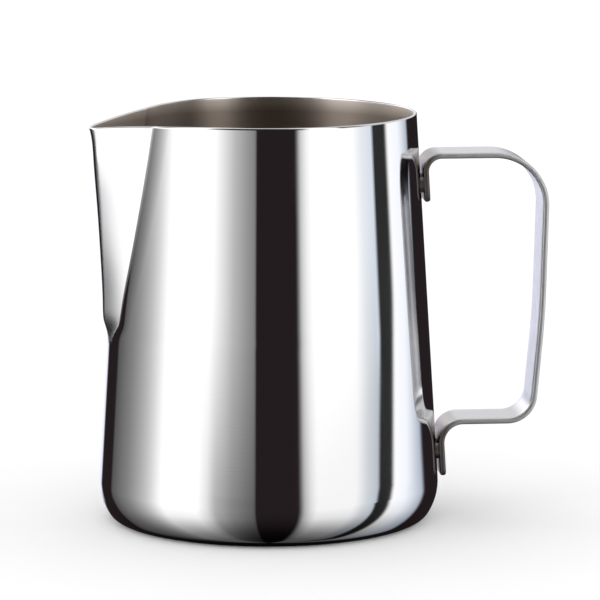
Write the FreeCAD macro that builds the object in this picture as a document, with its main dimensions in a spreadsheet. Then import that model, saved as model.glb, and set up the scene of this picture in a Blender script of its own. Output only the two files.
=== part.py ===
# Milk frothing pitcher, 600 ml class: a deep-drawn jug with a pressed V spout and a spot-welded strap handle.
# Frame: origin at the centre of the flat bottom, +Z up the jug's axis, spout towards -X, handle towards +X.
import FreeCAD, Part
import math
import os
import Sketcher

DIMENSIONS = {
    # jug wall: a straight cone that narrows upwards from the knuckle above the base
    "rim_height": 110.0,
    "rim_radius": 39.65,
    "knuckle_height": 11.0,
    "knuckle_radius": 45.75,
    "wall": 0.9,
    # base: two tangent arcs from the wall down to the flat bottom
    "upper_base_arc": 15.0,
    "lower_base_arc": 4.6,
    # spout: level sections of the upper jug, from the foot of the pressed tongue to above the lip
    "foot_height": 48.4,
    "foot_half_width": 8.0,
    "toe_height": 52.0,
    "toe_reach": 44.3,
    "toe_half_width": 11.4,
    "shin_height": 59.0,
    "shin_reach": 44.72,
    "shin_half_width": 14.0,
    "middle_height": 71.0,
    "middle_reach": 45.2,
    "middle_half_width": 17.2,
    "chest_height": 86.0,
    "chest_reach": 46.1,
    "chest_half_width": 20.4,
    "neck_height": 98.0,
    "neck_reach": 46.95,
    "neck_half_width": 22.2,
    "beak_height": 104.0,
    "beak_reach": 47.5,
    "beak_half_width": 22.8,
    "lip_height": 110.0,
    "lip_reach": 49.4,
    "lip_half_width": 23.3,
    "nose_radius": 9.0,
    # the press draws the wall in beside each crease, over a short arc
    "crease_draw_in": 0.4,
    "crease_draw_angle": 9.0,
    # rim line: level round the back, then one arc that dips to the tip of the spout
    "rim_dip_start": 13.5,
    "rim_dip_arc": 170.0,
    # room left above the rim and in front of the lip by the cut that trims them
    "trim_margin": 2.0,
    # handle: one flat bar, bent at four corners and bowed along the grip
    "bar_thickness": 1.5,
    "bar_width": 15.4,
    "tab_gap": 0.3,
    "lower_tab_end": 11.4,
    "lower_run_height": 26.3,
    "upper_run_height": 98.45,
    "upper_tab_end": 86.0,
    "lower_root_bend": 5.8,
    "lower_corner_bend": 7.3,
    "upper_corner_bend": 13.8,
    "upper_root_bend": 4.2,
    "grip_bow_bend": 230.0,
    "grip_bow_height": 47.5,
    "grip_bow_reach": 72.7,
    "grip_lower_lean": 5.2,
    "grip_upper_lean": 1.6,
    "tab_corner": 2.0,
    # spot welds: two nuggets side by side behind each tab
    "weld_radius": 2.1,
    "weld_half_spacing": 3.8,
    "weld_sink": 0.8,
    "upper_weld_height": 90.4,
    "lower_weld_height": 17.8,
}

MATCH = 0.2             # mm, how closely an edge has to fit the place it is looked for in
LEAST_TRIM = 100.0      # mm3, the least that the rim line has to cut away
TAB_CORNERS = 4

SPOUT_STATIONS = ["toe", "shin", "middle", "chest", "neck", "beak", "lip"]
# lean of the cone wall and its expression
WALL_LEAN = math.atan2(
    DIMENSIONS["knuckle_radius"] - DIMENSIONS["rim_radius"],
    DIMENSIONS["rim_height"] - DIMENSIONS["knuckle_height"],
)
WALL_LEAN_FORMULA = (
    "atan((dims.knuckle_radius - dims.rim_radius) / (dims.rim_height - dims.knuckle_height))"
)

doc = FreeCAD.newDocument("frothing_pitcher")
dims = doc.addObject("Spreadsheet::Sheet", "dims")
for row, (alias, value) in enumerate(DIMENSIONS.items(), start=1):
    dims.set(f"A{row}", alias.replace("_", " "))
    dims.set(f"B{row}", str(value))
    dims.setAlias(f"B{row}", alias)
doc.recompute()


def size(alias):
    """The value of one driving dimension."""
    return float(dims.get(alias))


def cone_radius(height, inset=0.0):
    """Horizontal radius of the cone wall at a height, moved in square to the wall by an inset."""
    fall = math.tan(WALL_LEAN) * (size("rim_height") - height)
    return size("rim_radius") + fall - inset / math.cos(WALL_LEAN)


def cone_radius_formula(height, inset="0"):
    """The same radius as an expression of the sheet."""
    lean = WALL_LEAN_FORMULA
    return f"(dims.rim_radius + tan({lean}) * (dims.rim_height - {height}) - {inset} / cos({lean}))"


# ---- sketching helpers -------------------------------------------------------------------------

def new_body(label):
    body = doc.addObject("PartDesign::Body", label)
    body.Label = label
    return body


def new_sketch(body, name, role, lift=None):
    """A sketch on one of the body's origin planes, lifted along its normal by an expression."""
    plane = next(feature for feature in body.Origin.OriginFeatures if feature.Role == role)
    sketch = body.newObject("Sketcher::SketchObject", name)
    sketch.AttachmentSupport = [(plane, "")]
    sketch.MapMode = "FlatFace"
    if lift:
        sketch.setExpression("AttachmentOffset.Base.z", lift)
    return sketch


def segment(sketch, start, end):
    return sketch.addGeometry(Part.LineSegment(FreeCAD.Vector(*start, 0), FreeCAD.Vector(*end, 0)), False)


def arc(sketch, centre, radius, start, end):
    """A counter-clockwise arc between two angles in radians."""
    circle = Part.Circle(FreeCAD.Vector(*centre, 0), FreeCAD.Vector(0, 0, 1), radius)
    return sketch.addGeometry(Part.ArcOfCircle(circle, start, end), False)


def bind(sketch, name, constraint, formula):
    """Add a named dimension to a sketch and tie it to the sheet."""
    index = sketch.addConstraint(constraint)
    sketch.renameConstraint(index, name)
    sketch.setExpression(f"Constraints.{name}", formula)


def bind_radius(sketch, name, edge, formula):
    radius = sketch.Geometry[edge].Radius
    bind(sketch, name, Sketcher.Constraint("Radius", edge, radius), formula)


def bind_point(sketch, name, edge, end, across=None, up=None):
    """Tie an end of an edge (1 start, 2 end, 3 centre) to its distances from the sketch's origin."""
    point = sketch.getPoint(edge, end)
    if across:
        constraint = Sketcher.Constraint("DistanceX", -1, 1, edge, end, point.x)
        bind(sketch, f"{name}_across", constraint, across)
    if up:
        constraint = Sketcher.Constraint("DistanceY", -1, 1, edge, end, point.y)
        bind(sketch, f"{name}_up", constraint, up)


def join(sketch, pairs, kind="Coincident"):
    """Join the end of each first edge to the start of the second, touching or tangent."""
    for first, second in pairs:
        sketch.addConstraint(Sketcher.Constraint(kind, first, 2, second, 1))


# ---- jug: the outside and the cavity are made the same way, an inset apart ----------------------

def add_base(body, skin, inset):
    """Turn the lower jug's profile about Z, up to the foot of the spout."""
    upper = size("upper_base_arc")
    lower = size("lower_base_arc")
    upper_x = size("knuckle_radius") - upper * math.cos(WALL_LEAN)
    upper_z = size("knuckle_height") - upper * math.sin(WALL_LEAN)
    lower_x = upper_x + math.sqrt((upper - lower) ** 2 - (upper_z - lower) ** 2)
    knee = math.atan2(lower - upper_z, lower_x - upper_x)
    wall_foot = (
        upper_x + (upper - skin) * math.cos(WALL_LEAN),
        upper_z + (upper - skin) * math.sin(WALL_LEAN),
    )
    top = size("foot_height")
    top_x = cone_radius(top, skin)

    sketch = new_sketch(body, f"{body.Name}_base_profile", "XZ_Plane")
    bottom = segment(sketch, (0, skin), (lower_x, skin))
    low = arc(sketch, (lower_x, lower), lower - skin, math.radians(-90), knee)
    high = arc(sketch, (upper_x, upper_z), upper - skin, knee, WALL_LEAN)
    wall = segment(sketch, wall_foot, (top_x, top))
    lid = segment(sketch, (top_x, top), (0, top))
    axis = segment(sketch, (0, top), (0, skin))
    join(sketch, ((wall, lid), (lid, axis), (axis, bottom)))
    join(sketch, ((bottom, low), (low, high), (high, wall)), "Tangent")
    sketch.addConstraint(Sketcher.Constraint("Horizontal", bottom))
    sketch.addConstraint(Sketcher.Constraint("Horizontal", lid))
    sketch.addConstraint(Sketcher.Constraint("Vertical", axis))
    sketch.addConstraint(Sketcher.Constraint("PointOnObject", axis, 1, -2))
    bind_radius(sketch, "high_arc", high, f"dims.upper_base_arc - {inset}")
    bind_radius(sketch, "low_arc", low, f"dims.lower_base_arc - {inset}")
    bind_point(sketch, "low", low, 3, up="dims.lower_base_arc")
    bind_point(sketch, "high", high, 3,
               f"dims.knuckle_radius - dims.upper_base_arc * cos({WALL_LEAN_FORMULA})",
               f"dims.knuckle_height - dims.upper_base_arc * sin({WALL_LEAN_FORMULA})")
    bind_point(sketch, "top", wall, 2, cone_radius_formula("dims.foot_height", inset), "dims.foot_height")
    turned = body.newObject("PartDesign::Revolution", f"{body.Name}_base")
    turned.Profile = sketch
    turned.ReferenceAxis = (sketch, ["V_Axis"])
    turned.Angle = 360.0


def foot_section(body, skin, inset):
    """The round section at the spout's foot, broken into the same six edges as the ones above it."""
    sketch = new_sketch(body, f"{body.Name}_foot", "XY_Plane", "dims.foot_height")
    radius = cone_radius(size("foot_height"), skin)
    half = size("foot_half_width")
    shares = [0.5, -0.5, -1.0, -1.5, 1.5, 1.0, 0.5]
    turns = [math.pi - math.asin(share * half / radius) for share in shares]
    turns[4:] = [turn + 2 * math.pi for turn in turns[4:]]
    edges = [arc(sketch, (0, 0), radius, start, end) for start, end in zip(turns[:-1], turns[1:])]
    for edge in edges:
        sketch.addConstraint(Sketcher.Constraint("Coincident", edge, 3, -1, 1))
    join(sketch, zip(edges[:-1], edges[1:]))
    bind_radius(sketch, "foot_radius", edges[0], cone_radius_formula("dims.foot_height", inset))
    bind_point(sketch, "first", edges[0], 1, up="dims.foot_half_width / 2")
    for number, (edge, share) in enumerate(zip(edges, shares[1:])):
        bind_point(sketch, f"turn_{number}", edge, 2, up=f"{share} * dims.foot_half_width")
    return sketch


def spout_section(body, station, skin, inset):
    """A level section of the jug with its spout: nose, two flanks, two drawn-in arcs and the round back."""
    height = size(f"{station}_height")
    radius = cone_radius(height, skin)
    crease = math.asin(size(f"{station}_half_width") / cone_radius(height))
    crease_radius = radius - size("crease_draw_in")
    crease_x = crease_radius * math.cos(crease)
    crease_y = crease_radius * math.sin(crease)
    nose = size("nose_radius") - skin
    nose_x = size(f"{station}_reach") - size("nose_radius")
    touch = math.atan2(crease_y, crease_x - nose_x)
    touch -= math.acos(nose / math.hypot(crease_x - nose_x, crease_y))
    touch_x = nose_x + nose * math.cos(touch)
    touch_y = nose * math.sin(touch)
    draw = crease + math.radians(size("crease_draw_angle"))
    along = crease_radius * math.cos(draw - crease)
    draw_arc = (crease_radius**2 + radius**2 - 2 * radius * along) / (2 * (radius - along))
    draw_x = -(radius - draw_arc) * math.cos(draw)
    draw_y = (radius - draw_arc) * math.sin(draw)
    draw_end = math.atan2(crease_y - draw_y, -crease_x - draw_x)

    sketch = new_sketch(body, f"{body.Name}_{station}", "XY_Plane", f"dims.{station}_height")
    front = arc(sketch, (-nose_x, 0), nose, math.pi - touch, math.pi + touch)
    near_flank = segment(sketch, (-touch_x, -touch_y), (-crease_x, -crease_y))
    near_draw = arc(sketch, (draw_x, -draw_y), draw_arc, -draw_end, math.pi + draw)
    back = arc(sketch, (0, 0), radius, math.pi + draw, 3 * math.pi - draw)
    far_draw = arc(sketch, (draw_x, draw_y), draw_arc, math.pi - draw, draw_end)
    far_flank = segment(sketch, (-crease_x, crease_y), (-touch_x, touch_y))
    join(sketch, ((far_flank, front), (front, near_flank)), "Tangent")
    join(sketch, ((near_draw, back), (back, far_draw)), "Tangent")
    join(sketch, ((near_flank, near_draw), (far_draw, far_flank)))
    sketch.addConstraint(Sketcher.Constraint("Coincident", back, 3, -1, 1))

    height_cell = f"dims.{station}_height"
    radius_formula = cone_radius_formula(height_cell, inset)
    crease_formula = f"asin(dims.{station}_half_width / {cone_radius_formula(height_cell)})"
    reach_formula = f"({radius_formula} - dims.crease_draw_in)"
    across = f"-{reach_formula} * cos({crease_formula})"
    up = f"{reach_formula} * sin({crease_formula})"
    draw_formula = f"{radius_formula} * sin({crease_formula} + dims.crease_draw_angle * 1 deg)"
    bind_radius(sketch, "nose_size", front, f"dims.nose_radius - {inset}")
    bind_radius(sketch, "back_size", back, radius_formula)
    bind_point(sketch, "nose", front, 3, f"dims.nose_radius - dims.{station}_reach", "0")
    bind_point(sketch, "near_crease", near_flank, 2, across, f"-{up}")
    bind_point(sketch, "far_crease", far_flank, 1, across, up)
    bind_point(sketch, "near_draw", back, 1, up=f"-{draw_formula}")
    bind_point(sketch, "far_draw", back, 2, up=draw_formula)
    return sketch


def jug_solid(label, skin, inset):
    """The whole jug as a filled solid: turned base below, lofted cone with its spout above."""
    body = new_body(label)
    add_base(body, skin, inset)
    sections = [foot_section(body, skin, inset)]
    sections += [spout_section(body, station, skin, inset) for station in SPOUT_STATIONS]
    doc.recompute()
    loft = body.newObject("PartDesign::AdditiveLoft", f"{label}_loft")
    loft.Profile = sections[0]
    loft.Sections = sections[1:]
    loft.Ruled = False
    loft.Closed = False
    doc.recompute()
    return body


outer = jug_solid("jug_outer", 0.0, "0")
cavity = jug_solid("jug_cavity", size("wall"), "dims.wall")


def trim_rim(body):
    """Cut the top of the filled jug along the rim line, which dips towards the tip of the spout."""
    sketch = new_sketch(body, "rim_line", "XZ_Plane")
    top = size("rim_height")
    start = -size("rim_dip_start")
    radius = size("rim_dip_arc")
    end = -size("lip_reach") - size("trim_margin")
    lid = top + size("trim_margin")
    sweep = math.asin((start - end) / radius)
    drop = top - radius * (1 - math.cos(sweep))
    line = arc(sketch, (start, top - radius), radius, math.pi / 2, math.pi / 2 + sweep)
    side = segment(sketch, (end, drop), (end, lid))
    cover = segment(sketch, (end, lid), (start, lid))
    last = segment(sketch, (start, lid), (start, top))
    join(sketch, ((line, side), (side, cover), (cover, last), (last, line)))
    sketch.addConstraint(Sketcher.Constraint("Vertical", side))
    sketch.addConstraint(Sketcher.Constraint("Horizontal", cover))
    sketch.addConstraint(Sketcher.Constraint("Vertical", last))
    bind_radius(sketch, "dip", line, "dims.rim_dip_arc")
    bind_point(sketch, "dip_centre", line, 3, "-dims.rim_dip_start", "dims.rim_height - dims.rim_dip_arc")
    bind_point(sketch, "dip_start", line, 1, "-dims.rim_dip_start")
    bind_point(sketch, "outside", side, 2, "-dims.lip_reach - dims.trim_margin",
               "dims.rim_height + dims.trim_margin")
    pocket = body.newObject("PartDesign::Pocket", "rim_trim")
    pocket.Profile = sketch
    pocket.Type = "ThroughAll"
    pocket.Midplane = True
    doc.recompute()


trim_rim(outer)
jug = doc.addObject("Part::Cut", "jug_body")
jug.Base = outer
jug.Tool = cavity
jug.Label = "jug_body"


# ---- handle ------------------------------------------------------------------------------------

def tab_reach_formula(height):
    """Horizontal distance from the axis to the middle of the bar where it lies along the wall."""
    stand_off = f"(dims.tab_gap + dims.bar_thickness / 2) / cos({WALL_LEAN_FORMULA})"
    return f"{cone_radius_formula(height)} + {stand_off}"


def tab_reach(height):
    stand_off = size("tab_gap") + size("bar_thickness") / 2
    return cone_radius(height) + stand_off / math.cos(WALL_LEAN)


def corner(path, at, radius):
    """Start, end, centre and turn of the arc that rounds one corner of a path of straight runs."""
    before, here, after = (FreeCAD.Vector(*path[at + step], 0) for step in (-1, 0, 1))
    incoming = (here - before).normalize()
    outgoing = (after - here).normalize()
    turn = math.atan2(incoming.cross(outgoing).z, incoming.dot(outgoing))
    setback = radius * math.tan(abs(turn) / 2)
    start = here - incoming * setback
    side = math.copysign(1.0, turn)
    centre = start + FreeCAD.Vector(-incoming.y, incoming.x, 0) * radius * side
    return start, here + outgoing * setback, centre, side


def handle_path(body):
    """The bar's middle line in side view: two tabs along the wall, two level runs and a bowed grip."""
    low_lean = math.radians(size("grip_lower_lean"))
    high_lean = math.radians(size("grip_upper_lean"))
    bow = size("grip_bow_bend")
    bow_start = FreeCAD.Vector(size("grip_bow_reach"), size("grip_bow_height"), 0)
    lower = size("lower_run_height")
    upper = size("upper_run_height")
    knee = bow_start + FreeCAD.Vector(math.sin(low_lean), math.cos(low_lean), 0) * (
        bow * math.tan((low_lean - high_lean) / 2)
    )
    points = [
        (tab_reach(size("lower_tab_end")), size("lower_tab_end")),
        (tab_reach(lower), lower),
        (bow_start.x - (bow_start.y - lower) * math.tan(low_lean), lower),
        (knee.x, knee.y),
        (knee.x + (upper - knee.y) * math.tan(high_lean), upper),
        (tab_reach(upper), upper),
        (tab_reach(size("upper_tab_end")), size("upper_tab_end")),
    ]
    bends = ["lower_root_bend", "lower_corner_bend", "grip_bow_bend", "upper_corner_bend", "upper_root_bend"]
    sketch = new_sketch(body, "handle_path", "XZ_Plane")
    runs = []
    arcs = []
    begin = FreeCAD.Vector(*points[0], 0)
    for at, bend in enumerate(bends, start=1):
        start, end, centre, side = corner(points, at, size(bend))
        runs.append(segment(sketch, (begin.x, begin.y), (start.x, start.y)))
        angles = [math.atan2(point.y - centre.y, point.x - centre.x) for point in (start, end)]
        first, last = angles if side > 0 else angles[::-1]
        arcs.append((arc(sketch, (centre.x, centre.y), size(bend), first, last), side))
        begin = end
    runs.append(segment(sketch, (begin.x, begin.y), points[-1]))
    for number, (bend, side) in enumerate(arcs):
        enter, leave = (1, 2) if side > 0 else (2, 1)
        sketch.addConstraint(Sketcher.Constraint("Tangent", runs[number], 2, bend, enter))
        sketch.addConstraint(Sketcher.Constraint("Tangent", bend, leave, runs[number + 1], 1))
        bind_radius(sketch, f"bend_{number}", bend, f"dims.{bends[number]}")
    lower_tab, lower_run, lower_grip, upper_grip, upper_run, upper_tab = runs
    sketch.addConstraint(Sketcher.Constraint("Horizontal", lower_run))
    sketch.addConstraint(Sketcher.Constraint("Horizontal", upper_run))
    bind_point(sketch, "lower_end", lower_tab, 1, tab_reach_formula("dims.lower_tab_end"),
               "dims.lower_tab_end")
    bind_point(sketch, "upper_end", upper_tab, 2, tab_reach_formula("dims.upper_tab_end"),
               "dims.upper_tab_end")
    bind_point(sketch, "lower_run", lower_run, 1, up="dims.lower_run_height")
    bind_point(sketch, "upper_run", upper_run, 1, up="dims.upper_run_height")
    bind_point(sketch, "bow", lower_grip, 2, "dims.grip_bow_reach", "dims.grip_bow_height")
    for name, run, formula in (
        ("lower_tab", lower_tab, f"90 deg + {WALL_LEAN_FORMULA}"),
        ("upper_tab", upper_tab, f"{WALL_LEAN_FORMULA} - 90 deg"),
        ("lower_grip", lower_grip, "90 deg - dims.grip_lower_lean * 1 deg"),
        ("upper_grip", upper_grip, "90 deg - dims.grip_upper_lean * 1 deg"),
    ):
        direction = sketch.getPoint(run, 2) - sketch.getPoint(run, 1)
        bind(sketch, f"{name}_angle",
             Sketcher.Constraint("Angle", run, math.atan2(direction.y, direction.x)), formula)
    return sketch


def handle_profile(body):
    """The bar's cross-section at the end of the lower tab."""
    sketch = new_sketch(body, "bar_section", "XY_Plane", "dims.lower_tab_end")
    middle = tab_reach(size("lower_tab_end"))
    half = size("bar_thickness") / 2
    wide = size("bar_width") / 2
    corners = [(middle - half, -wide), (middle + half, -wide), (middle + half, wide), (middle - half, wide)]
    sides = [segment(sketch, corners[turn], corners[(turn + 1) % 4]) for turn in range(4)]
    join(sketch, [(sides[turn], sides[(turn + 1) % 4]) for turn in range(4)])
    for level in (sides[0], sides[2]):
        sketch.addConstraint(Sketcher.Constraint("Horizontal", level))
    for upright in (sides[1], sides[3]):
        sketch.addConstraint(Sketcher.Constraint("Vertical", upright))
    reach = tab_reach_formula("dims.lower_tab_end")
    bind_point(sketch, "near_inner", sides[0], 1, f"{reach} - dims.bar_thickness / 2", "-dims.bar_width / 2")
    bind_point(sketch, "far_outer", sides[2], 1, f"{reach} + dims.bar_thickness / 2", "dims.bar_width / 2")
    return sketch


def round_tab_corners(body, base):
    """Round the four corners of the bar's two ends, seen square on to the tabs."""
    ends = []
    for number, edge in enumerate(base.Shape.Edges, start=1):
        middle = edge.CenterOfMass
        at_side = abs(abs(middle.y) - size("bar_width") / 2) < MATCH
        at_end = min(abs(middle.z - size(end)) for end in ("lower_tab_end", "upper_tab_end")) < MATCH
        across = abs(edge.Length - size("bar_thickness")) < MATCH
        if at_side and at_end and across:
            ends.append(f"Edge{number}")
    fillet = body.newObject("PartDesign::Fillet", "tab_corners")
    fillet.Base = (base, ends)
    fillet.setExpression("Radius", "dims.tab_corner")
    doc.recompute()
    return len(ends)


strap = new_body("handle_strap")
path = handle_path(strap)
section = handle_profile(strap)
doc.recompute()
bar = strap.newObject("PartDesign::AdditivePipe", "bent_bar")
bar.Profile = section
bar.Spine = path
bar.Mode = "Binormal"
bar.Binormal = FreeCAD.Vector(0, 1, 0)
doc.recompute()
rounded_corners = round_tab_corners(strap, bar)


# ---- spot welds --------------------------------------------------------------------------------

def weld_pair(label, height):
    """Two nuggets that fill the gap between a tab's inner face and the jug's wall."""
    lean = WALL_LEAN_FORMULA
    face = f"({cone_radius_formula(f'dims.{height}')} + dims.tab_gap / cos({lean}))"
    nuggets = []
    for side, name in ((-1, "near"), (1, "far")):
        nugget = doc.addObject("Part::Cylinder", f"{label}_{name}")
        inward = FreeCAD.Vector(-math.cos(WALL_LEAN), 0, -math.sin(WALL_LEAN))
        nugget.Placement = FreeCAD.Placement(
            FreeCAD.Vector(), FreeCAD.Rotation(FreeCAD.Vector(0, 0, 1), inward)
        )
        nugget.setExpression("Radius", "dims.weld_radius")
        nugget.setExpression("Height", "dims.tab_gap + dims.weld_sink")
        nugget.setExpression("Placement.Base.x", face)
        nugget.setExpression("Placement.Base.y", f"{side} * dims.weld_half_spacing")
        nugget.setExpression("Placement.Base.z", f"dims.{height}")
        nuggets.append(nugget)
    pair = doc.addObject("Part::MultiFuse", f"{label}_blanks")
    pair.Shapes = nuggets
    welds = doc.addObject("Part::Cut", label)
    welds.Base = pair
    welds.Tool = outer
    welds.Label = label
    return welds


upper_welds = weld_pair("upper_spot_welds", "upper_weld_height")
lower_welds = weld_pair("lower_spot_welds", "lower_weld_height")
doc.recompute()


# ---- checks and files --------------------------------------------------------------------------

NODES = [jug, strap, upper_welds, lower_welds]
SOLIDS = {"jug_body": 1, "handle_strap": 1, "upper_spot_welds": 2, "lower_spot_welds": 2}

failed = [item.Name for item in doc.Objects if "Invalid" in item.State or "Error" in item.State]
if failed:
    raise RuntimeError(f"features that did not build: {failed}")
if rounded_corners != TAB_CORNERS:
    raise RuntimeError(f"the bar should have {TAB_CORNERS} corners to round, found {rounded_corners}")
trimmed = doc.getObject("jug_outer_loft").Shape.Volume - outer.Shape.Volume
if trimmed < LEAST_TRIM:
    raise RuntimeError("the rim line cut nothing")
os.makedirs("parts", exist_ok=True)
for node in NODES:
    shape = node.Shape
    if shape.isNull() or not shape.isValid() or len(shape.Solids) != SOLIDS[node.Label]:
        raise RuntimeError(f"{node.Label} is not sound")
    shape.exportStep(f"parts/{node.Label}.step")
    print(f"{node.Label}: {shape.Volume:.1f} mm3, {len(shape.Solids)} solids")
print(f"capacity to the brim: {cavity.Shape.Volume / 1000:.0f} ml, bar cut to {path.Shape.Length:.1f} mm")
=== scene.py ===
import math

import bmesh
import bpy
import numpy as np
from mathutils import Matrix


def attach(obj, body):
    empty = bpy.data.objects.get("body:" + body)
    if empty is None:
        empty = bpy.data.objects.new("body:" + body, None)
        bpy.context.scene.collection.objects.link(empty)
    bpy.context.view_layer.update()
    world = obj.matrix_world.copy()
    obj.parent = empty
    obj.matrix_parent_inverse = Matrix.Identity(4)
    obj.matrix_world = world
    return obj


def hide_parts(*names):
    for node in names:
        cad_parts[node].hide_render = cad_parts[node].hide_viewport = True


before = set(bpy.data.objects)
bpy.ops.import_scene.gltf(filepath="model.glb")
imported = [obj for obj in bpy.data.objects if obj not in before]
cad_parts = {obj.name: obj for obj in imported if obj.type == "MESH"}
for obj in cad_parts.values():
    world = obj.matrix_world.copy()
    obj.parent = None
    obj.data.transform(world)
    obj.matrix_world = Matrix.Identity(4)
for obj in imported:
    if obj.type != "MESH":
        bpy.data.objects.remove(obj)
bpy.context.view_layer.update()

MM = 0.001

# ---- sizes of the pitcher in mm, as in the part -------------------------------------------------
RIM_HEIGHT = 110.0
RIM_RADIUS = 39.65
KNUCKLE_HEIGHT = 11.0
KNUCKLE_RADIUS = 45.75
WALL = 0.9
UPPER_BASE_ARC = 15.0
LOWER_BASE_ARC = 4.6
FOOT_HEIGHT = 48.4
FOOT_HALF_WIDTH = 8.0
NOSE_RADIUS = 9.0
CREASE_DRAW_IN = 0.4
CREASE_DRAW_ANGLE = math.radians(9.0)
RIM_DIP_START = 13.5
RIM_DIP_ARC = 170.0
# level sections of the spout: height, reach of the nose, half width at the creases; the last reach is
# 0.2 less than the part's, so that the lip stays inside the part's box
SPOUT_STATIONS = (
    (52.0, 44.3, 11.4),
    (59.0, 44.72, 14.0),
    (71.0, 45.2, 17.2),
    (86.0, 46.1, 20.4),
    (98.0, 46.95, 22.2),
    (104.0, 47.5, 22.8),
    (110.0, 49.2, 23.3),
)
WALL_LEAN = math.atan2(KNUCKLE_RADIUS - RIM_RADIUS, RIM_HEIGHT - KNUCKLE_HEIGHT)
CREASE_ROUND = 0.45     # run of the rounding on each side of a crease
RIM_ROUND = 0.32        # height of the rounding over the rim
SAFETY = 0.015          # kept clear of the part's outer faces

# handle
BAR_THICKNESS = 1.5
BAR_WIDTH = 15.4
BAR_EDGE = 0.55
TAB_GAP = 0.3
TAB_CORNER = 2.0
LOWER_TAB_END = 11.4
LOWER_RUN = 26.3
UPPER_RUN = 98.45
UPPER_TAB_END = 86.0
BENDS = (5.8, 7.3, 230.0, 13.8, 4.2)
BOW_HEIGHT = 47.5
BOW_REACH = 72.7
GRIP_LOWER_LEAN = math.radians(5.2)
GRIP_UPPER_LEAN = math.radians(1.6)

# samples round half a section: nose, flank, crease, drawn-in arc, back
NOSE_STEPS = 22
FLANK_STEPS = 20
CREASE_STEPS = 6
DRAW_STEPS = 14
BACK_STEPS = 84
WALL_LEVELS = 60
LEVEL_EASE = 1.25       # crowds the wall's levels towards the rim
TABLE_LEVELS = 400
FOOT_BLEND = 7.0        # height over which the spout grows out of the round wall
CONE_LEVELS = 10
ARC_LEVELS = 16
FLOOR_SHARES = (0.97, 0.85, 0.65, 0.4, 0.15)    # of the flat bottom's radius
RIM_STEPS = 8
RIM_ROUNDS = 6          # of fitting the rim's height to its reach

# samples of the handle
BEND_STEP = 4.0         # degrees
LEAST_BEND_STEPS = 4
RUN_STEP = 1.5
CORNER_STEPS = 10
CORNER_CLEARANCE = 0.3  # between a rounded corner's samples and the next one
EDGE_STEPS = 5
FLAT_STRIPS = 6
LEAST_FLAT = 1.0        # a side longer than this across the bar is one of its wide flats


def cone_radius(height, skin=0.0):
    """Radius of the cone wall at a height, moved in square to the wall by a skin."""
    fall = math.tan(WALL_LEAN) * (RIM_HEIGHT - height)
    return RIM_RADIUS + fall - skin / math.cos(WALL_LEAN)


def fractions(count, ease=1.0):
    """Fractions 0 to 1 without the last, closer together towards 1 when ease is above 1."""
    return [1.0 - (1.0 - step / count) ** ease for step in range(count)]


def smooth(share):
    """A share from 0 to 1, eased at both ends."""
    return share * share * (3 - 2 * share)


def on_circle(radius, angle):
    return (radius * math.cos(angle), radius * math.sin(angle))


def spout_half_section(height, reach, half_width, skin):
    """Half a level section, from the tip of the nose round to the back: (away from the handle, across)."""
    radius = cone_radius(height, skin)
    crease_angle = math.asin(half_width / cone_radius(height))
    crease = np.array(on_circle(radius - CREASE_DRAW_IN, crease_angle))
    nose = NOSE_RADIUS - skin
    nose_at = np.array([reach - NOSE_RADIUS, 0.0])
    to_crease = crease - nose_at
    touch_angle = math.atan2(to_crease[1], to_crease[0]) - math.acos(nose / np.hypot(*to_crease))
    touch = nose_at + on_circle(nose, touch_angle)
    draw = crease_angle + CREASE_DRAW_ANGLE
    inner = radius - CREASE_DRAW_IN
    along = inner * math.cos(CREASE_DRAW_ANGLE)
    draw_arc = (inner**2 + radius**2 - 2 * radius * along) / (2 * (radius - along))
    draw_at = np.array(on_circle(radius - draw_arc, draw))
    draw_from = math.atan2(*(crease - draw_at)[::-1])
    arc_gap = draw_from + CREASE_ROUND / draw_arc * math.copysign(1.0, draw - draw_from)
    flank_length = np.hypot(*(crease - touch))
    before = crease + (touch - crease) * CREASE_ROUND / flank_length
    after = draw_at + on_circle(draw_arc, arc_gap)

    points = [nose_at + on_circle(nose, touch_angle * part) for part in fractions(NOSE_STEPS)]
    points += [touch + (before - touch) * part for part in fractions(FLANK_STEPS)]
    for part in fractions(CREASE_STEPS):
        points.append((1 - part)**2 * before + 2 * part * (1 - part) * crease + part**2 * after)
    for part in fractions(DRAW_STEPS):
        points.append(draw_at + on_circle(draw_arc, arc_gap + (draw - arc_gap) * part))
    for step in range(BACK_STEPS + 1):
        points.append(on_circle(radius, draw + (math.pi - draw) * step / BACK_STEPS))
    return np.array(points)


def spline(knots, values, at):
    """Natural cubic spline through values at the knots."""
    count = len(knots)
    steps = np.diff(knots)
    matrix = np.eye(count)
    right = np.zeros(count)
    for row in range(1, count - 1):
        matrix[row, row - 1:row + 2] = steps[row - 1], 2 * (steps[row - 1] + steps[row]), steps[row]
        right[row] = 6 * ((values[row + 1] - values[row]) / steps[row]
                          - (values[row] - values[row - 1]) / steps[row - 1])
    bends = np.linalg.solve(matrix, right)
    span = min(max(int(np.searchsorted(knots, at, side="right")) - 1, 0), count - 2)
    up = (at - knots[span]) / steps[span]
    down = 1 - up
    straight = down * values[span] + up * values[span + 1]
    return straight + steps[span]**2 / 6 * ((down**3 - down) * bends[span] + (up**3 - up) * bends[span + 1])


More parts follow.
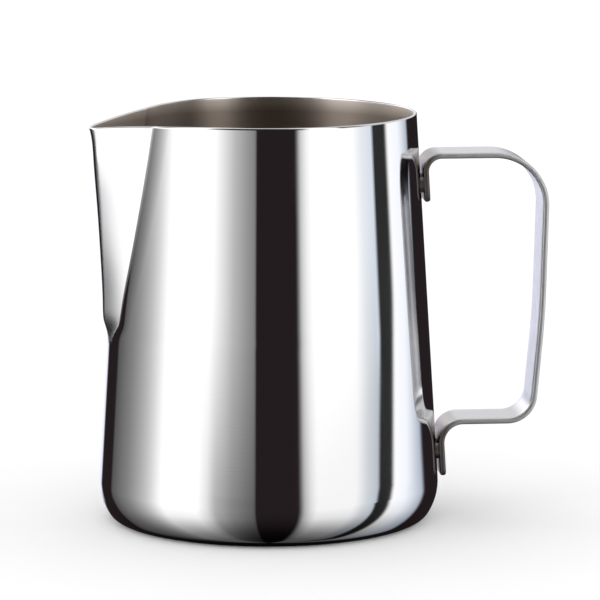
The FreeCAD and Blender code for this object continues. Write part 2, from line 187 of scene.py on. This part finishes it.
class Skin:
    """The outer face of the jug's upper wall (skin 0) or its inner face (skin = the wall)."""

    def __init__(self, skin):
        self.skin = skin
        knots, reaches, half_widths = (list(column) for column in zip(*SPOUT_STATIONS))
        knots.insert(0, FOOT_HEIGHT)
        reaches.insert(0, cone_radius(FOOT_HEIGHT))
        half_widths.insert(0, FOOT_HALF_WIDTH)
        self.levels = np.linspace(FOOT_HEIGHT, RIM_HEIGHT, TABLE_LEVELS)
        foot = None
        table = []
        for level in self.levels:
            half = spout_half_section(level, spline(knots, reaches, level),
                                      spline(knots, half_widths, level), skin)
            angles = np.arctan2(half[:, 1], half[:, 0])
            radii = np.hypot(half[:, 0], half[:, 1])
            foot = angles if foot is None else foot
            grown = smooth(min((level - FOOT_HEIGHT) / FOOT_BLEND, 1.0))
            angles = foot + (angles - foot) * grown
            radii = cone_radius(level, skin) * (1 - grown) + radii * grown
            table.append(np.c_[radii * np.cos(angles), radii * np.sin(angles)])
        self.table = np.array(table)

    def at(self, heights):
        """The half section's points, each at a height of its own."""
        place = (heights - FOOT_HEIGHT) / (RIM_HEIGHT - FOOT_HEIGHT) * (TABLE_LEVELS - 1)
        below = np.clip(place.astype(int), 0, TABLE_LEVELS - 2)
        share = (place - below)[:, None]
        which = np.arange(len(heights))
        return self.table[below, which] * (1 - share) + self.table[below + 1, which] * share


def rim_line(away):
    """Height of the rim: level round the back, then one arc that dips to the tip of the spout."""
    beyond = np.maximum(away - RIM_DIP_START, 0.0)
    return RIM_HEIGHT - RIM_DIP_ARC + np.sqrt(RIM_DIP_ARC**2 - beyond**2)


def whole_ring(half, heights):
    """Mirror half a section into a whole ring of points in the pitcher's frame."""
    near = np.c_[-half[:, 0], -half[:, 1], heights]
    far = near[-2:0:-1] * (1, -1, 1)
    return np.r_[near, far]


def base_profile(skin):
    """Radius and height down the turned lower jug, from under the foot of the spout to the centre."""
    upper_x = KNUCKLE_RADIUS - UPPER_BASE_ARC * math.cos(WALL_LEAN)
    upper_z = KNUCKLE_HEIGHT - UPPER_BASE_ARC * math.sin(WALL_LEAN)
    lower_x = upper_x + math.sqrt((UPPER_BASE_ARC - LOWER_BASE_ARC)**2 - (upper_z - LOWER_BASE_ARC)**2)
    knee = math.atan2(LOWER_BASE_ARC - upper_z, lower_x - upper_x)
    arc_top = upper_z + (UPPER_BASE_ARC - skin) * math.sin(WALL_LEAN)
    profile = []
    for level in range(1, CONE_LEVELS):
        height = FOOT_HEIGHT + (arc_top - FOOT_HEIGHT) * level / CONE_LEVELS
        profile.append((cone_radius(height, skin), height))
    for level in range(ARC_LEVELS):
        across, up = on_circle(UPPER_BASE_ARC - skin, WALL_LEAN + (knee - WALL_LEAN) * level / ARC_LEVELS)
        profile.append((upper_x + across, upper_z + up))
    for level in range(ARC_LEVELS + 1):
        angle = knee + (-math.pi / 2 - knee) * level / ARC_LEVELS
        across, up = on_circle(LOWER_BASE_ARC - skin, angle)
        profile.append((lower_x + across, LOWER_BASE_ARC + up))
    floor = profile[-1]
    profile += [(floor[0] * share, floor[1]) for share in FLOOR_SHARES]
    return profile


def shell_rows(skin_face, tops):
    """Rings of points from the rim down to the middle of the bottom."""
    rows = []
    for level in range(WALL_LEVELS + 1):
        share = (level / WALL_LEVELS)**LEVEL_EASE
        heights = tops + (FOOT_HEIGHT - tops) * share
        rows.append(whole_ring(skin_face.at(heights), heights))
    foot = rows[-1]
    directions = foot[:, :2] / np.hypot(foot[:, 0], foot[:, 1])[:, None]
    for radius, height in base_profile(skin_face.skin):
        rows.append(np.c_[directions * radius, np.full(len(foot), height)])
    return rows


def new_object(name, data):
    made = bpy.data.objects.new(name, data)
    bpy.context.scene.collection.objects.link(made)
    return made


def grid_mesh(name, rows):
    """A mesh through rings of points; the first and last rings are closed by a fan."""
    count = len(rows[0])
    points = [tuple(point) for row in rows for point in row]
    faces = []
    for row in range(len(rows) - 1):
        for step in range(count):
            after = (step + 1) % count
            faces.append((row * count + step, row * count + after,
                          (row + 1) * count + after, (row + 1) * count + step))
    for ring, flip in ((0, False), (len(rows) - 1, True)):
        points.append(tuple(np.mean(rows[ring], axis=0)))
        centre = len(points) - 1
        for step in range(count):
            pair = (ring * count + step, ring * count + (step + 1) % count)
            faces.append((*pair, centre) if flip else (*pair[::-1], centre))
    mesh = bpy.data.meshes.new(name)
    mesh.from_pydata([tuple(value * MM for value in point) for point in points], [], faces)
    piece = new_object(name, mesh)
    tidy = bmesh.new()
    tidy.from_mesh(mesh)
    bmesh.ops.recalc_face_normals(tidy, faces=tidy.faces)
    tidy.to_mesh(mesh)
    tidy.free()
    mesh.shade_smooth()
    return piece


def build_jug():
    outside = Skin(SAFETY)
    inside = Skin(WALL)
    tops = np.full(outside.table.shape[1], RIM_HEIGHT)
    for _ in range(RIM_ROUNDS):
        tops = rim_line(outside.at(tops)[:, 0])
    tops = tops - RIM_ROUND - SAFETY
    outer_rows = shell_rows(outside, tops)
    inner_rows = shell_rows(inside, tops)
    rim_rows = []
    for step in range(1, RIM_STEPS):
        angle = math.pi * step / RIM_STEPS
        row = outer_rows[0] + (inner_rows[0] - outer_rows[0]) * (1 - math.cos(angle)) / 2
        row[:, 2] += RIM_ROUND * math.sin(angle)
        rim_rows.append(row)
    piece = grid_mesh("jug_shell", outer_rows[::-1] + rim_rows + inner_rows)
    return piece, len(outer_rows), len(rim_rows)


# ---- materials ----------------------------------------------------------------------------------

MIRROR_STEEL = (0.86, 0.86, 0.87)
UNDERSIDE_STEEL = (0.8, 0.8, 0.81)
BAR_STEEL = (0.78, 0.78, 0.79)
WELD_STEEL = ((0.42, 0.36, 0.3), (0.66, 0.65, 0.64))
PALE_FLOOR = ((0.93, 0.93, 0.93), (0.95, 0.95, 0.95))
INSIDE_STEEL = (0.43, 0.36, 0.31)
RIM_PAINTED_LIGHT = (0.95, 0.87, 0.78)     # painted light: the inside's colour is made paler for a few mm down from the rim
RIM_PAINTED_LIGHT_FROM = 106.0             # height where it sets in
# heat tint from the welding plus painted shade, darkening the tabs where they meet the wall
HEAT_TINT_AND_SHADE = (0.2, 0.17, 0.155)
TINT_AND_SHADE_NEAR = 2.0                     # the tabs have this heat tint and painted shade up to here, in mm off the wall
TINT_AND_SHADE_FAR = 6.0                      # and are free of both from here
EDGE_DULLNESS = 0.25                # roughness added on the bar's cut edges
EDGE_FACING = (0.3, 0.8)            # sideways part of the normal where that sets in and where it is full
FLANK_ROUGHNESS = 0.15              # roughness added on the spout's pressed flanks
FLANK_LIFT = 0.22                   # upward tilt of their shading normals; their shape isn't changed
LIP_LIFT = 0.8                      # share added to both at the lip
LIP_HEIGHTS = (97.0, 106.0)         # where that sets in and where it is full
PRESSED_FROM = 0.35                 # share of the nose's samples where the flanks' shading sets in
PRESSED_OVER = 0.5                  # share over which it becomes full
MIX_INPUTS = (0, 6, 7)              # factor, first and second colour of a Mix node that mixes colours
MIX_RESULT = 2


def new_material(name):
    material = bpy.data.materials.new(name)
    material.use_nodes = True
    tree = material.node_tree
    return material, tree, tree.nodes["Principled BSDF"]


def new_metal(name, colour=None):
    material, tree, shader = new_material(name)
    shader.inputs["Metallic"].default_value = 1.0
    if colour:
        shader.inputs["Base Color"].default_value = (*colour, 1.0)
    return material, tree, shader


def add(tree, kind, **settings):
    node = tree.nodes.new(kind)
    for key, value in settings.items():
        setattr(node, key, value)
    return node


def math_node(tree, operation, first, second=None, third=None):
    node = add(tree, "ShaderNodeMath", operation=operation)
    for socket, value in zip(node.inputs, (first, second, third)):
        if value is None:
            continue
        if isinstance(value, (int, float)):
            socket.default_value = value
        else:
            tree.links.new(value, socket)
    return node.outputs["Value"]


def object_axes(tree):
    """X, Y and Z of a point in the object's own space, in metres."""
    place = add(tree, "ShaderNodeTexCoord")
    parts = add(tree, "ShaderNodeSeparateXYZ")
    tree.links.new(place.outputs["Object"], parts.inputs[0])
    return parts.outputs


def two_colours(tree, value, colours):
    ramp = add(tree, "ShaderNodeValToRGB")
    for element, colour in zip(ramp.color_ramp.elements, colours):
        element.color = (*colour, 1.0)
    tree.links.new(value, ramp.inputs["Fac"])
    return ramp.outputs["Color"]


def mix_colour(tree, factor, first, second, blend="MIX"):
    node = add(tree, "ShaderNodeMix", data_type="RGBA", blend_type=blend)
    for index, value in zip(MIX_INPUTS, (factor, first, second)):
        socket = node.inputs[index]
        if isinstance(value, (int, float)):
            socket.default_value = value
        elif isinstance(value, tuple):
            socket.default_value = (*value, 1.0)
        else:
            tree.links.new(value, socket)
    return node.outputs[MIX_RESULT]


def stretched_noise(tree, stretch, scale, detail=3.0, roughness=0.5):
    """Noise in the object's own space, stretched per axis."""
    place = add(tree, "ShaderNodeTexCoord")
    mapping = add(tree, "ShaderNodeMapping")
    mapping.inputs["Scale"].default_value = stretch
    noise = add(tree, "ShaderNodeTexNoise")
    noise.inputs["Scale"].default_value = scale
    noise.inputs["Detail"].default_value = detail
    noise.inputs["Roughness"].default_value = roughness
    tree.links.new(place.outputs["Object"], mapping.inputs["Vector"])
    tree.links.new(mapping.outputs["Vector"], noise.inputs["Vector"])
    return noise.outputs["Fac"]


def remap(tree, value, low, high, from_low=0.3, from_high=0.7):
    node = add(tree, "ShaderNodeMapRange")
    node.inputs["From Min"].default_value = from_low
    node.inputs["From Max"].default_value = from_high
    node.inputs["To Min"].default_value = low
    node.inputs["To Max"].default_value = high
    tree.links.new(value, node.inputs["Value"])
    return node.outputs["Result"]


def add_bump(tree, shader, height, strength, distance):
    bump = add(tree, "ShaderNodeBump")
    bump.inputs["Strength"].default_value = strength
    bump.inputs["Distance"].default_value = distance
    tree.links.new(height, bump.inputs["Height"])
    tree.links.new(bump.outputs["Normal"], shader.inputs["Normal"])
    return bump


def mirror_steel():
    material, tree, shader = new_metal("mirror_steel", MIRROR_STEEL)
    smears = stretched_noise(tree, stretch=(1.0, 1.0, 0.5), scale=60.0)
    pressed = add(tree, "ShaderNodeAttribute", attribute_name="pressed")
    softer = math_node(tree, "MULTIPLY", pressed.outputs["Fac"], FLANK_ROUGHNESS)
    rough = math_node(tree, "ADD", remap(tree, smears, low=0.025, high=0.06), softer)
    tree.links.new(rough, shader.inputs["Roughness"])
    polish = stretched_noise(tree, stretch=(1.0, 1.0, 14.0), scale=260.0, detail=4.0)
    bump = add_bump(tree, shader, polish, strength=0.05, distance=0.00002)
    shape = add(tree, "ShaderNodeNewGeometry")
    lift = add(tree, "ShaderNodeCombineXYZ")
    tree.links.new(math_node(tree, "MULTIPLY", pressed.outputs["Fac"], FLANK_LIFT), lift.inputs[2])
    lifted = add(tree, "ShaderNodeVectorMath", operation="ADD")
    tree.links.new(shape.outputs["Normal"], lifted.inputs[0])
    tree.links.new(lift.outputs[0], lifted.inputs[1])
    unit = add(tree, "ShaderNodeVectorMath", operation="NORMALIZE")
    tree.links.new(lifted.outputs[0], unit.inputs[0])
    tree.links.new(unit.outputs[0], bump.inputs["Normal"])
    return material


def satin_inside():
    material, tree, shader = new_metal("satin_inside")
    height = object_axes(tree)["Z"]
    # painted light: the inside is coloured lighter near the rim, going from INSIDE_STEEL lower down to a
    # paler colour at the top
    lit_near_rim = remap(tree, height, 0.0, 1.0, from_low=RIM_PAINTED_LIGHT_FROM * MM, from_high=RIM_HEIGHT * MM)
    colour = mix_colour(tree, lit_near_rim, INSIDE_STEEL, RIM_PAINTED_LIGHT)
    tree.links.new(colour, shader.inputs["Base Color"])
    turned = stretched_noise(tree, stretch=(1.0, 1.0, 30.0), scale=60.0, detail=4.0)
    tree.links.new(remap(tree, turned, low=0.4, high=0.5), shader.inputs["Roughness"])
    shader.inputs["Anisotropic"].default_value = 0.9
    shader.inputs["Anisotropic Rotation"].default_value = 0.25
    round_axis = add(tree, "ShaderNodeTangent", direction_type="RADIAL", axis="Z")
    tree.links.new(round_axis.outputs[0], shader.inputs["Tangent"])
    add_bump(tree, shader, turned, strength=0.04, distance=0.00002)
    return material


def underside():
    material, tree, shader = new_metal("underside", UNDERSIDE_STEEL)
    scuffs = stretched_noise(tree, stretch=(1.0, 1.0, 1.0), scale=260.0, detail=6.0, roughness=0.7)
    tree.links.new(remap(tree, scuffs, low=0.3, high=0.38), shader.inputs["Roughness"])
    rings = add(tree, "ShaderNodeTexWave", wave_type="RINGS", rings_direction="Z")
    rings.inputs["Scale"].default_value = 900.0
    rings.inputs["Distortion"].default_value = 1.5
    place = add(tree, "ShaderNodeTexCoord")
    tree.links.new(place.outputs["Object"], rings.inputs["Vector"])
    add_bump(tree, shader, rings.outputs["Fac"], strength=0.12, distance=0.00002)
    return material


def handle_steel():
    material, tree, shader = new_metal("handle_steel")
    grain = stretched_noise(tree, stretch=(3.0, 40.0, 3.0), scale=90.0, detail=4.0)
    shape = add(tree, "ShaderNodeNewGeometry")
    facing = add(tree, "ShaderNodeSeparateXYZ")
    tree.links.new(shape.outputs["Normal"], facing.inputs[0])
    sideways = math_node(tree, "ABSOLUTE", facing.outputs["Y"])
    duller = remap(tree, sideways, 0.0, EDGE_DULLNESS, *EDGE_FACING)
    rough = math_node(tree, "ADD", remap(tree, grain, low=0.15, high=0.27), duller)
    tree.links.new(rough, shader.inputs["Roughness"])
    # the bar's colour darkens near the wall: partly heat tint from welding, partly painted shade in the
    # tabs' bends against the wall
    place = object_axes(tree)
    lean = math_node(tree, "MULTIPLY", place["Z"], math.tan(WALL_LEAN))
    wall_foot = cone_radius(0.0) * MM
    off_wall = math_node(tree, "SUBTRACT", math_node(tree, "ADD", place["X"], lean), wall_foot)
    free_of_tint_and_shade = remap(tree, off_wall, 0.0, 1.0, from_low=TINT_AND_SHADE_NEAR * MM, from_high=TINT_AND_SHADE_FAR * MM)
    colour = mix_colour(tree, free_of_tint_and_shade, HEAT_TINT_AND_SHADE, BAR_STEEL)
    tree.links.new(colour, shader.inputs["Base Color"])
    add_bump(tree, shader, grain, strength=0.12, distance=0.00003)
    return material


def weld_steel():
    material, tree, shader = new_metal("weld_steel")
    spots = stretched_noise(tree, stretch=(1.0, 1.0, 1.0), scale=900.0, detail=5.0)
    tree.links.new(two_colours(tree, spots, WELD_STEEL), shader.inputs["Base Color"])
    tree.links.new(remap(tree, spots, low=0.4, high=0.6), shader.inputs["Roughness"])
    add_bump(tree, shader, spots, strength=0.4, distance=0.0001)
    return material


# ---- handle -------------------------------------------------------------------------------------

def tab_reach(height):
    return cone_radius(height) + (TAB_GAP + BAR_THICKNESS / 2) / math.cos(WALL_LEAN)


def handle_line():
    """The bar's middle line in side view as closely spaced points, with the bends rounded."""
    knee_rise = BENDS[2] * math.tan((GRIP_LOWER_LEAN - GRIP_UPPER_LEAN) / 2)
    knee = np.array([BOW_REACH + knee_rise * math.sin(GRIP_LOWER_LEAN),
                     BOW_HEIGHT + knee_rise * math.cos(GRIP_LOWER_LEAN)])
    corners = [np.array(corner) for corner in (
        (tab_reach(LOWER_TAB_END), LOWER_TAB_END),
        (tab_reach(LOWER_RUN), LOWER_RUN),
        (BOW_REACH - (BOW_HEIGHT - LOWER_RUN) * math.tan(GRIP_LOWER_LEAN), LOWER_RUN),
        knee,
        (knee[0] + (UPPER_RUN - knee[1]) * math.tan(GRIP_UPPER_LEAN), UPPER_RUN),
        (tab_reach(UPPER_RUN), UPPER_RUN),
        (tab_reach(UPPER_TAB_END), UPPER_TAB_END),
    )]
    line = []
    begin = corners[0]
    for at, bend in enumerate(BENDS, start=1):
        incoming = corners[at] - corners[at - 1]
        outgoing = corners[at + 1] - corners[at]
        incoming = incoming / np.hypot(*incoming)
        outgoing = outgoing / np.hypot(*outgoing)
        turn = math.atan2(incoming[0] * outgoing[1] - incoming[1] * outgoing[0], incoming @ outgoing)
        setback = bend * math.tan(abs(turn) / 2)
        start = corners[at] - incoming * setback
        side = math.copysign(1.0, turn)
        centre = start + np.array([-incoming[1], incoming[0]]) * bend * side
        line += run_points(begin, start, at == 1)
        steps = max(LEAST_BEND_STEPS, int(math.degrees(abs(turn)) / BEND_STEP))
        spoke = start - centre
        for step in range(steps):
            angle = turn * step / steps
            line.append(centre + (spoke[0] * math.cos(angle) - spoke[1] * math.sin(angle),
                                  spoke[0] * math.sin(angle) + spoke[1] * math.cos(angle)))
        begin = corners[at] + outgoing * setback
    line += run_points(begin, corners[-1], False, last=True)
    return np.array(line)


def run_points(start, end, first, last=False):
    """Points along a straight run; the bar's two ends are sampled finely for their rounded corners."""
    length = np.hypot(*(end - start))
    marks = list(np.linspace(0.0, length, max(3, int(length / RUN_STEP)), endpoint=False))
    quarter = [math.pi / 2 * step / CORNER_STEPS for step in range(CORNER_STEPS + 1)]
    fine = [TAB_CORNER * (1 - math.cos(angle)) for angle in quarter]
    if first:
        marks = fine + [mark for mark in marks if mark > TAB_CORNER + CORNER_CLEARANCE]
    if last:
        marks = [mark for mark in marks if mark < length - TAB_CORNER - CORNER_CLEARANCE]
        marks += [length - mark for mark in fine[::-1]]
    return [start + (end - start) * mark / length for mark in marks]


def bar_ring(half_width, half_thickness, edge):
    """Rounded rectangle: (outwards, across) pairs anticlockwise."""
    ring = []
    for quarter, (side_out, side_across) in enumerate(((1, 1), (-1, 1), (-1, -1), (1, -1))):
        centre = (side_out * (half_thickness - edge), side_across * (half_width - edge))
        for step in range(EDGE_STEPS + 1):
            angle = math.pi / 2 * (quarter + step / EDGE_STEPS)
            ring.append((centre[0] + edge * math.cos(angle), centre[1] + edge * math.sin(angle)))
    return ring


def with_flats(ring):
    """Split the two wide flats of a bar's ring into several strips."""
    full = []
    for index, point in enumerate(ring):
        full.append(point)
        after = ring[(index + 1) % len(ring)]
        if abs(after[1] - point[1]) > LEAST_FLAT:
            for step in range(1, FLAT_STRIPS):
                share = step / FLAT_STRIPS
                full.append(tuple(here + (there - here) * share for here, there in zip(point, after)))
    return full


def build_strap():
    line = handle_line()
    tangents = np.gradient(line, axis=0)
    tangents /= np.hypot(tangents[:, 0], tangents[:, 1])[:, None]
    travelled = np.r_[0.0, np.cumsum(np.hypot(*np.diff(line, axis=0).T))]
    total = travelled[-1]
    rows = []
    for point, tangent, run in zip(line, tangents, travelled):
        from_end = min(run, total - run)
        short = max(TAB_CORNER - from_end, 0.0)
        half_width = BAR_WIDTH / 2 - (TAB_CORNER - math.sqrt(TAB_CORNER**2 - short**2))
        thin = max(BAR_EDGE - from_end, 0.0)
        half_thickness = BAR_THICKNESS / 2 - (BAR_EDGE - math.sqrt(BAR_EDGE**2 - thin**2))
        outwards = np.array([tangent[1], -tangent[0]])
        ring = with_flats(bar_ring(half_width - SAFETY, half_thickness - SAFETY / 2, BAR_EDGE))
        rows.append(np.array([
            (point[0] + out * outwards[0], across, point[1] + out * outwards[1]) for out, across in ring
        ]))
    return grid_mesh("handle_bar", rows)


def mark_pressed_flanks(piece, outer_count):
    """A point attribute on the outside of the spout: 1 on its flanks, more at the lip, 0 round the nose."""
    half = []
    for step in range(NOSE_STEPS):
        rising = (step / NOSE_STEPS - PRESSED_FROM) / PRESSED_OVER
        half.append(smooth(min(max(rising, 0.0), 1.0)))
    half += [1.0] * FLANK_STEPS + [0.0] * (CREASE_STEPS + DRAW_STEPS + BACK_STEPS + 1)
    ring = np.array(half + half[-2:0:-1])
    heights = np.array([vertex.co.z for vertex in piece.data.vertices]) / MM
    flare = np.clip((heights - LIP_HEIGHTS[0]) / (LIP_HEIGHTS[1] - LIP_HEIGHTS[0]), 0.0, 1.0)
    values = np.zeros(len(heights))
    for row in range(outer_count - WALL_LEVELS, outer_count):
        here = slice(row * len(ring), (row + 1) * len(ring))
        values[here] = ring * (1 + LIP_LIFT * flare[here])
    pressed = piece.data.attributes.new("pressed", "FLOAT", "POINT")
    pressed.data.foreach_set("value", values)


# ---- build --------------------------------------------------------------------------------------

jug, outer_count, rim_count = build_jug()
mark_pressed_flanks(jug, outer_count)
MIRROR, INSIDE, UNDERSIDE = range(3)
for material in (mirror_steel(), satin_inside(), underside()):
    jug.data.materials.append(material)
ring_size = 2 * (NOSE_STEPS + FLANK_STEPS + CREASE_STEPS + DRAW_STEPS + BACK_STEPS)
underside_fan = len(jug.data.polygons) // ring_size - 2
for face in jug.data.polygons:
    row = face.index // ring_size
    if row < len(FLOOR_SHARES) or row == underside_fan:
        face.material_index = UNDERSIDE
    elif row >= outer_count + rim_count:
        face.material_index = INSIDE
    else:
        face.material_index = MIRROR
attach(jug, "root")
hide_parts("jug_body")

strap = build_strap()
strap.data.materials.append(handle_steel())
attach(strap, "root")
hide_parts("handle_strap")

weld = weld_steel()
for node in ("upper_spot_welds", "lower_spot_welds"):
    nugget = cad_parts[node]
    nugget.data.materials.clear()
    nugget.data.materials.append(weld)

# ---- studio: pale floor, even daylight and a tent of cards that only reflections see --------------

CAMERA_AT = (-0.0951, -1.0959, 0.230)
CAMERA_PITCH = 81.17
CAMERA_TURN = -5.4
LENS = 248.3
DAYLIGHT = 1.13
TENT_RADIUS = 5.0
TENT_HEIGHT = 0.05
FLOOR_HALF = 8.0
FLOOR_HEIGHT = -0.00005     # just under the jug's bottom

# Each stop below is an angle in degrees with a brightness, a colour or a share. Directions round the tent
# are counted from the camera's, positive to the camera's right, and elevations from the horizon.
ROUND = 180
UPRIGHT = 90
BLACK = (0.02, 0.014, 0.016)
TENT_BANDS = (
    (-135, BLACK), (-132, 0.1), (-121, 0.18), (-112, 0.25), (-105, 0.34), (-98, 0.46), (-92, 0.6),
    (-86, 0.8), (-76, 1.25), (-42, 1.25), (-34, 0.92), (-25, 0.56), (-16, 0.36), (-10, 0.26),
    (-8.5, BLACK), (20.5, BLACK), (24, 0.68), (28, 1.0), (33, 1.25), (64, 1.25),
    (74, (0.94, 0.97, 1.0)), (84.5, (0.78, 0.85, 0.95)), (87, 0.03), (99.5, 0.03), (103.5, 1.15),
    (117, (1.05, 1.08, 1.15)), (131, (0.5, 0.56, 0.65)), (134, BLACK),
)
# the right-hand bands lean to the left below BAND_TURN, by more than the photo shows near the base
BAND_TURN = math.radians(-4.2)
BAND_BEND = -3.2            # degrees of sideways shift per degree below it
BAND_DEPTH = math.radians(-4.0)     # the shift stops growing this far below it
BAND_SHARE = ((-180, 0.0), (30, 0.0), (85, 1.0), (105, 1.0), (132, 0.2), (180, 0.0))
# overhead there are other bands, where only the inside of the jug and the top of the handle look
TENT_HIGH_BANDS = (
    (-180, 0.75), (-158, 0.75), (-134, 0.1), (-100, 0.06), (-84, 2.0), (-56, 2.0), (-42, 0.02),
    (26, 0.02), (36, 1.7), (52, 1.7), (58, 0.03), (74, 0.08), (86, 0.7), (180, 0.75),
)
OVERHEAD = ((-90, 0.0), (3, 0.0), (9, 1.0), (90, 1.0))
# a pale card behind the jug, cut off some way below the horizon
REAR = (0.96, 0.97, 1.12)
REAR_ROUND = ((-162, 1.0), (-157, 0.0), (171, 0.0), (176, 1.0))
REAR_RISE = ((-17, 0.0), (-13, 1.0))
# a bright strip just above the horizon, from the left round to the back
STRIP = (1.35, 1.35, 1.35)
STRIP_ROUND = ((-180, 0.0), (-172, 0.0), (-162, 1.0), (-86, 1.0), (-76, 0.0), (180, 0.0))
STRIP_RISE = ((-90, 0.0), (2, 0.0), (5, 1.0), (24, 1.0), (32, 0.0), (90, 0.0))
# how much the front cards darken low down, by direction and by elevation
SHADE = (0.0, 0.0, 0.0)
SHADE_ROUND = (
    (-50, 0.0), (-36, 1.0), (-9, 1.0), (-8, 0.0), (20, 0.0), (22, 0.5), (30, 0.3), (60, 0.3), (82, 0.6),
    (86, 0.0),
)
SHADE_BELOW = ((-5.2, 0.5), (-4, 0.25), (-2.3, 0.0))
# how the whole tent's brightness falls below the horizon
TENT_FALL = (
    (-90, 0.05), (-68, 0.08), (-55, 0.2), (-45, 0.36), (-35, 0.58), (-25, 0.82), (-8, 1.0), (90, 1.0),
)


def ramp_node(tree, value, stops, limit):
    """A colour ramp from -limit to limit degrees, read with a value in radians."""
    degrees = math_node(tree, "DEGREES", value)
    share = math_node(tree, "DIVIDE", math_node(tree, "SUBTRACT", degrees, -limit), 2 * limit)
    ramp = add(tree, "ShaderNodeValToRGB")
    elements = ramp.color_ramp.elements
    while len(elements) < len(stops):
        elements.new(0.5)
    for element, (degree, _) in zip(elements, stops):
        element.position = (degree + limit) / (2 * limit)
    for element, (_, colour) in zip(elements, stops):
        level = colour if isinstance(colour, tuple) else (colour,) * 3
        element.color = (*level, 1.0)
    tree.links.new(share, ramp.inputs["Fac"])
    return ramp.outputs["Color"]


def round_and_rise(tree, azimuth, elevation, by_round, by_rise):
    """A mask that is the product of a ramp round the tent and a ramp up it."""
    return math_node(tree, "MULTIPLY", ramp_node(tree, azimuth, by_round, ROUND),
                     ramp_node(tree, elevation, by_rise, UPRIGHT))


def lean_bands(tree, azimuth, elevation):
    """The direction at which the bands are read, shifted low down on the right."""
    over = math_node(tree, "SUBTRACT", elevation, BAND_TURN)
    below = math_node(tree, "MAXIMUM", math_node(tree, "MINIMUM", over, 0.0), BAND_DEPTH)
    share = ramp_node(tree, azimuth, BAND_SHARE, ROUND)
    shift = math_node(tree, "MULTIPLY", share, math_node(tree, "MULTIPLY", below, BAND_BEND))
    return math_node(tree, "ADD", azimuth, shift)


def build_tent():
    mesh = bpy.data.meshes.new("tent")
    shape = bmesh.new()
    bmesh.ops.create_uvsphere(shape, u_segments=48, v_segments=24, radius=TENT_RADIUS)
    shape.to_mesh(mesh)
    shape.free()
    tent = new_object("tent", mesh)
    tent.location = (0.0, 0.0, TENT_HEIGHT)
    material = bpy.data.materials.new("tent_cards")
    material.use_nodes = True
    tree = material.node_tree
    tree.nodes.clear()
    x, y, z = object_axes(tree)
    to_camera = math.atan2(CAMERA_AT[1], CAMERA_AT[0])
    turn = math_node(tree, "SUBTRACT", math_node(tree, "ARCTAN2", y, x), to_camera)
    azimuth = math_node(tree, "WRAP", turn, math.pi, -math.pi)
    squares = [math_node(tree, "MULTIPLY", axis, axis) for axis in (x, y)]
    level = math_node(tree, "SQRT", math_node(tree, "ADD", *squares))
    elevation = math_node(tree, "ARCTAN2", z, level)
    bands = ramp_node(tree, lean_bands(tree, azimuth, elevation), TENT_BANDS, ROUND)
    behind = round_and_rise(tree, azimuth, elevation, REAR_ROUND, REAR_RISE)
    colour = mix_colour(tree, behind, bands, REAR)
    high_bands = ramp_node(tree, azimuth, TENT_HIGH_BANDS, ROUND)
    colour = mix_colour(tree, ramp_node(tree, elevation, OVERHEAD, UPRIGHT), colour, high_bands)
    shaded = round_and_rise(tree, azimuth, elevation, SHADE_ROUND, SHADE_BELOW)
    colour = mix_colour(tree, shaded, colour, SHADE)
    in_strip = round_and_rise(tree, azimuth, elevation, STRIP_ROUND, STRIP_RISE)
    colour = mix_colour(tree, in_strip, colour, STRIP)
    fall = ramp_node(tree, elevation, TENT_FALL, UPRIGHT)
    colour = mix_colour(tree, 1.0, colour, fall, blend="MULTIPLY")
    glow = add(tree, "ShaderNodeEmission")
    out = add(tree, "ShaderNodeOutputMaterial")
    tree.links.new(colour, glow.inputs["Color"])
    tree.links.new(glow.outputs[0], out.inputs["Surface"])
    material.cycles.emission_sampling = "NONE"
    mesh.materials.append(material)
    tent.visible_camera = False
    tent.visible_diffuse = False
    tent.visible_shadow = False
    return tent


def build_floor():
    mesh = bpy.data.meshes.new("floor")
    sides = ((-1, -1), (1, -1), (1, 1), (-1, 1))
    corners = [(x * FLOOR_HALF, y * FLOOR_HALF, FLOOR_HEIGHT) for x, y in sides]
    mesh.from_pydata(corners, [], [(0, 1, 2, 3)])
    floor = new_object("floor", mesh)
    material, tree, shader = new_material("pale_floor")
    shader.inputs["Roughness"].default_value = 0.9
    shader.inputs["Specular IOR Level"].default_value = 0.0
    mottle = stretched_noise(tree, stretch=(1.0, 1.0, 1.0), scale=30.0)
    tree.links.new(two_colours(tree, mottle, PALE_FLOOR), shader.inputs["Base Color"])
    mesh.materials.append(material)
    floor.visible_glossy = False
    return floor


build_tent()
build_floor()

world = bpy.data.worlds.new("daylight")
world.use_nodes = True
background = world.node_tree.nodes["Background"]
background.inputs["Color"].default_value = (1.0, 1.0, 1.0, 1.0)
background.inputs["Strength"].default_value = DAYLIGHT
bpy.context.scene.world = world
bpy.context.scene.view_settings.view_transform = "Standard"

lens = bpy.data.cameras.new("camera")
lens.lens = LENS
lens.sensor_width = 36.0
lens.clip_end = 100.0
camera = new_object("camera", lens)
camera.location = CAMERA_AT
camera.rotation_euler = (math.radians(CAMERA_PITCH), 0.0, math.radians(CAMERA_TURN))
bpy.context.scene.camera = camera
